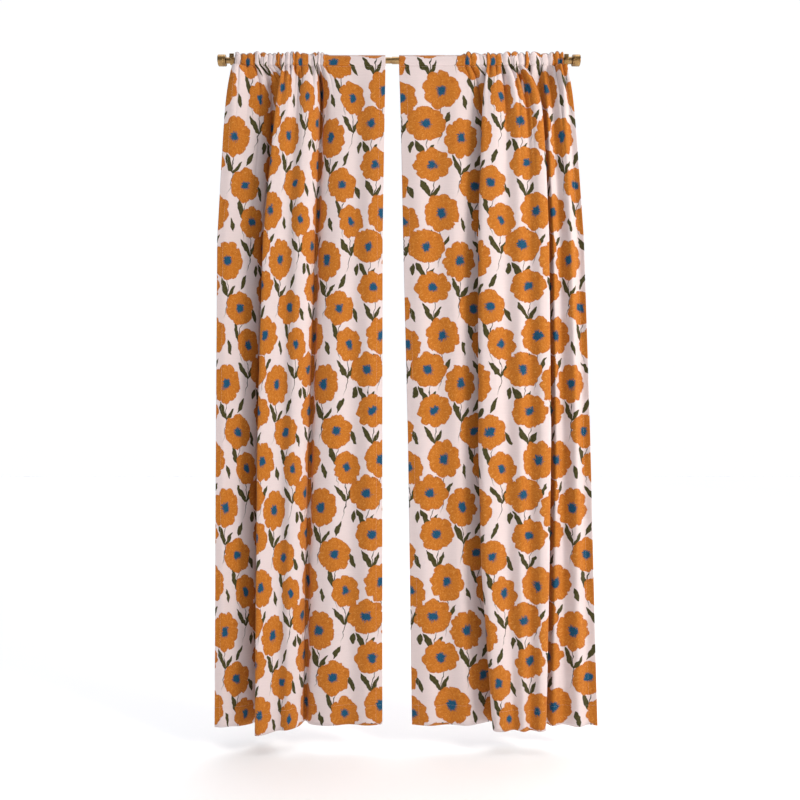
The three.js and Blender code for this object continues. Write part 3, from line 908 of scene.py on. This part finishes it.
def pocket_row(t, beat, gather):
    """Where a row of the pocket's cloth lies, as y from the rod's axis and z. The row's t is 1
    at the stitch line behind the rod and 0 at the one in front."""
    roll = np.sqrt(np.abs(np.sin(np.pi * beat)))
    turn = math.radians(POCKET_FRONT_TURN + POCKET_SWEEP * t)
    free = math.sin(math.pi * t) ** 0.8
    lift = max(0.0, math.sin(turn))
    out = gather * np.sqrt(np.abs(np.sin(np.pi * beat + 0.35 * math.sin(3 * turn))))
    out = out * free * (0.006 + 0.008 * lift) + 0.4 * MM
    level = abs(math.cos(turn))
    if math.cos(turn) > 0:
        around = -POCKET_DEPTH * (level**0.18 if turn < 0 else level)
    else:
        around = POCKET_DEPTH * level - POCKET_MEETING * (1 - level)
    pinched = (1 - free) * gather * (roll - 0.7) * 0.008
    y = around - out * math.cos(turn) - pinched
    return y, -POCKET_SAG + (POCKET_RISE + out) * math.sin(turn)


def hanging_y(panel, drop, run, cloth, beat, gather):
    """Where a row of the hanging cloth lies, as y from the rod's axis."""
    run_x, run_y = run
    below = drop - STITCH_DROP
    settle = 1 - math.exp(-below / SETTLE_DROP)
    deep = 0.72 + 0.32 * smooth(0, 1.1, below) + 0.09 * smooth(1.3, 2.1, below)
    deep = deep * (1 + 0.10 * np.sin(5 * cloth + 2.3 * drop + panel["sign"]))
    # The gathers die out below the pocket, some soon and some further down.
    roll = np.sqrt(np.abs(np.sin(np.pi * beat)))
    reach = 0.045 + 0.120 * (0.5 + 0.5 * np.sin(cloth * 19 + 2)) ** 2
    fine = gather * (0.7 - roll) * 0.022 * np.exp(-below / reach)
    grown = 1 - math.exp(-below / 0.03)
    broad = gather * 0.005 * np.cos(np.pi * beat) * math.exp(-below / 0.22) * grown
    sway = 0.0014 * np.sin(7 * cloth + 3.1 * drop) + 0.0010 * np.sin(17 * cloth - 5.3 * drop)
    for place, depth, fade in panel["creases"]:
        narrow = np.exp(-(((run_x - place) / CREASE_WIDTH) ** 2))
        fine = fine + depth * narrow * math.exp(-below / fade) * smooth(0, 0.03, below)
    # The outer edge hangs clear of the set screw, so that it can pass when the rod lifts.
    clear = smooth(0.90, 0.97, cloth / FLAT_WIDTH) * smooth(0, 0.011, below)
    clear = -0.040 * clear * math.exp(-below / 0.10)
    y = run_y * deep * settle + fine + broad + sway * settle + clear
    return y - STITCH_FRONT * math.exp(-below / 0.04)


def drape(panel):
    """The places of a panel's grid of cloth points, a row for each drop, first up the back of
    the pocket, over the rod and down its front, and then down to the hem. Also the cloth's own
    place across each column and up each row, and the length of its run."""
    run_x, run_y, run_length = smooth_run(panel["run"], COLUMNS)
    cloth = np.linspace(0, 1, COLUMNS) * FLAT_WIDTH
    rod_x, beat, gather = gathers(panel, run_x, cloth)
    rows, heights = [], []
    for t in np.linspace(1, 0, LOOP_ROWS):
        y, z = pocket_row(t, beat, gather)
        rows.append((rod_x, y, z))
        heights.append(HEM_DROP - STITCH_DROP + POCKET_LOOP * t)

    marks = list(panel["marks"])
    nose = np.exp(-(((run_x - NOSE_PLACE) / NOSE_WIDTH) ** 2))
    for drop in body_drops():
        below = drop - STITCH_DROP
        placed = [np.interp(drop, DROPS, panel["marks"][mark]) for mark in marks]
        laid = np.interp(run_x, marks, placed)
        x = rod_x + (laid - rod_x) * (1 - math.exp(-below / SETTLE_DROP))
        y = hanging_y(panel, drop, (run_x, run_y), cloth, beat, gather)
        z = -drop - panel["low_nose"] * smooth(0.4, 2.1, below) * nose
        rows.append((x, y, z))
        heights.append(HEM_DROP - drop)
    grid = np.array(rows).transpose(0, 2, 1) * (panel["sign"], 1, 1) + (0, ROD_Y, 0)
    return grid, cloth, np.array(heights), run_length


def facing(grid, sign):
    """The way each point of the cloth's face looks."""
    across = np.gradient(grid, axis=1)
    down = np.gradient(grid, axis=0)
    normal = sign * np.cross(down, across)
    return normal / np.linalg.norm(normal, axis=2, keepdims=True)


def cloth_piece(name, grid, across, length, sign, thickness, materials):
    """A sheet through a grid of points, with its cloth coordinates in metres as a UV map."""
    rows, columns = grid.shape[:2]
    index = np.arange(rows * columns).reshape(rows, columns)
    corners = [index[:-1, :-1], index[1:, :-1], index[1:, 1:], index[:-1, 1:]]
    if sign < 0:
        corners = corners[::-1]
    faces = np.stack(corners, axis=2).reshape(-1, 4)
    piece = mesh_object(name, grid.reshape(-1, 3), faces, materials, sharp=180)
    places = np.stack(np.broadcast_arrays(across[None, :], length[:, None]), axis=2)
    places = places.reshape(-1, 2)
    layer = piece.data.uv_layers.new(name="cloth")
    layer.data.foreach_set("uv", places[faces.reshape(-1)].astype(np.float32).reshape(-1))
    solid = piece.modifiers.new("cloth thickness", "SOLIDIFY")
    solid.thickness = thickness
    solid.offset = -1
    solid.material_offset = len(materials) - 1
    return piece


def along_line(points, spacing):
    """Distances an even way apart along a line of points, and each point's own distance."""
    steps = np.linalg.norm(np.diff(points, axis=0), axis=1)
    along = np.concatenate([[0], np.cumsum(steps)])
    return np.arange(spacing / 2, along[-1], spacing), along


def stitches(name, lines):
    """Rows of lockstitches, each a short spindle of thread lying on the cloth. Threads are
    0.4 mm thick, drawn 0.6 mm thick so that they show."""
    points, faces = [], []
    half, thick, pitch = 1.5 * MM, 0.3 * MM, 4.2 * MM
    for line, normals in lines:
        at, along = along_line(line, pitch)
        for s in at:
            spots = [
                np.array([np.interp(s + d, along, line[:, k]) for k in range(3)])
                for d in (-half, 0, half)
            ]
            normal = np.array([np.interp(s, along, normals[:, k]) for k in range(3)])
            normal /= np.linalg.norm(normal)
            forward = spots[2] - spots[0]
            side = np.cross(normal, forward)
            side *= thick / max(np.linalg.norm(side), 1e-9)
            base = len(points)
            rise = normal * thick * 0.8
            points += [
                spots[0],
                spots[1] + side,
                spots[1] + rise,
                spots[1] - side,
                spots[1] - rise * 0.2,
                spots[2],
            ]
            for i in range(4):
                j = (i + 1) % 4
                faces.append((base, base + 1 + j, base + 1 + i))
                faces.append((base + 5, base + 1 + i, base + 1 + j))
    return mesh_object(name, points, faces, [THREAD], sharp=180)


def curtain(panel):
    """One printed panel with its turned hems and stitches."""
    side, sign = panel["side"], panel["sign"]
    grid, cloth, length, run_length = drape(panel)
    across = panel["print_start"] + sign * cloth
    print(f"{side} panel: laid run {run_length:.3f} m, cut {FLAT_WIDTH} m")
    normals = facing(grid, sign)
    sheet = cloth_piece(
        f"{side}_curtain_cloth", grid, across, length, sign, CLOTH_THICKNESS,
        [PRINT_FACE, PRINT_BACK],
    )
    hem_row = int(np.argmin(abs(length - HEM_HEIGHT)))
    bottom = grid[hem_row:] - normals[hem_row:] * HEM_BEHIND
    hem = cloth_piece(
        f"{side}_bottom_hem", bottom, across, length[hem_row:], sign, HEM_THICKNESS, [PRINT_BACK]
    )
    side_columns = int(round(SIDE_HEM_WIDTH / FLAT_WIDTH * (COLUMNS - 1)))
    first_body_row = LOOP_ROWS + 2
    rows = slice(first_body_row, hem_row + 1)
    turn_ins = []
    for name, span in (
        ("leading", slice(0, side_columns + 1)),
        ("outer", slice(COLUMNS - 1 - side_columns, COLUMNS)),
    ):
        strip = grid[rows, span] - normals[rows, span] * HEM_BEHIND
        turn_ins.append(
            cloth_piece(
                f"{side}_{name}_turned_hem", strip, across[span], length[rows], sign,
                HEM_THICKNESS, [PRINT_BACK],
            )
        )
    # Stitches lie on the face above the hem, below the pocket and beside each side hem.
    above = grid + normals * 0.15 * MM
    lines = [(above[row], normals[row]) for row in (hem_row + 1, LOOP_ROWS + 1)]
    for column in (side_columns - 1, COLUMNS - side_columns):
        lines.append((above[first_body_row:, column], normals[first_body_row:, column]))
    seams = stitches(f"{side}_seam_stitches", lines)

    lead = next(iter(panel["marks"].values()))[0]
    for piece in (sheet, hem, *turn_ins, seams):
        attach(piece, f"{side}_curtain")
        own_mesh(piece)
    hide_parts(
        *(f"{side}_{n}" for n in ("gathered_pocket", "outer_folds", "leading_pocket",
                                  "leading_leaf")),
    )
    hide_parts(f"{side}_outer_hem", f"{side}_leading_hem")
    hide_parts(f"{side}_leading_side_hem")
    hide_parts(f"{side}_outer_side_hem")


# ---- Stage ----


def studio():
    """A pale floor, soft light from the right front, and a camera level with the middle."""
    scene = bpy.context.scene
    scene.view_settings.view_transform = "Standard"
    material, tree = new_material("pale_matt_floor")
    speckle = add(tree, NOISE, {"Scale": 6.0}, output="Fac")
    base = add(tree, RAMP, {"stops": [(0.3, "f6f6f6"), (0.7, "fbfbfb")]}, {"Fac": speckle})
    shader = add(tree, PRINCIPLED, {"Roughness": 0.9}, {"Base Color": base})
    add(tree, OUTPUT, links={"Surface": shader})
    mesh = bpy.data.meshes.new("floor")
    reach, level = 9.0, -HEM_DROP - 0.08
    corners = [(a * reach, b * reach, level) for a, b in ((-1, -1), (1, -1), (1, 1), (-1, 1))]
    mesh.from_pydata(corners, [], [(0, 1, 2, 3)])
    mesh.materials.append(material)
    floor = bpy.data.objects.new("floor", mesh)
    bpy.context.collection.objects.link(floor)

    world = bpy.data.worlds.new("studio")
    scene.world = world
    world.use_nodes = True
    # The surrounding light is white behind the object, dimmer behind the camera and to the left,
    # and strongest straight above, so that the floor is as pale as the background.
    tree = world.node_tree
    tree.nodes.clear()
    way = add(tree, "ShaderNodeTexCoord", output="Generated")
    x, y, z = add(tree, SEPARATE, links={0: way}).node.outputs
    depth = add(tree, MATH, TIMES_PLUS, {0: x, 1: 0.5, 2: y})
    behind = {"From Min": -0.4, "From Max": 0.6, "To Min": 0.22, "To Max": 1.04}
    overhead = {"From Min": 0.75, "From Max": 0.95, "To Min": 0.0, "To Max": 1.9}
    behind = add(tree, MAP_RANGE, behind, {"Value": depth})
    overhead = add(tree, MAP_RANGE, overhead, {"Value": z})
    strength = add(tree, MATH, {"operation": "ADD"}, {0: behind, 1: overhead})
    light = add(
        tree, "ShaderNodeBackground", {"Color": colour("fbfcff")}, {"Strength": strength}
    )
    add(tree, "ShaderNodeOutputWorld", links={"Surface": light})

    data = bpy.data.lights.new("key", "AREA")
    data.size = 1.1
    data.energy = 94
    data.color = colour("fff4ea")[:3]
    lamp = bpy.data.objects.new("key", data)
    lamp.location = (3.0, -2.3, 0.3)
    aim = Vector((0, ROD_Y, -1.0)) - lamp.location
    lamp.rotation_euler = aim.to_track_quat("-Z", "Y").to_euler()
    bpy.context.collection.objects.link(lamp)

    # The picture is this wide at the curtains, seen from this far in front of the rod.
    picture_width, distance = 2.54, 2.55
    camera_data = bpy.data.cameras.new("camera")
    camera_data.sensor_width = 36
    camera_data.lens = camera_data.sensor_width * distance / picture_width
    camera = bpy.data.objects.new("camera", camera_data)
    camera.location = (0.003, ROD_Y - distance, -1.078)
    camera.rotation_euler = (math.pi / 2, 0, 0)
    bpy.context.collection.objects.link(camera)
    scene.camera = camera


studio()
tube("outer_tube")
tube("inner_tube")
bush()
for side, sign in (("left", -1), ("right", 1)):
    finial(side, sign)
    bracket(side)
curtain(LEFT)
curtain(RIGHT)
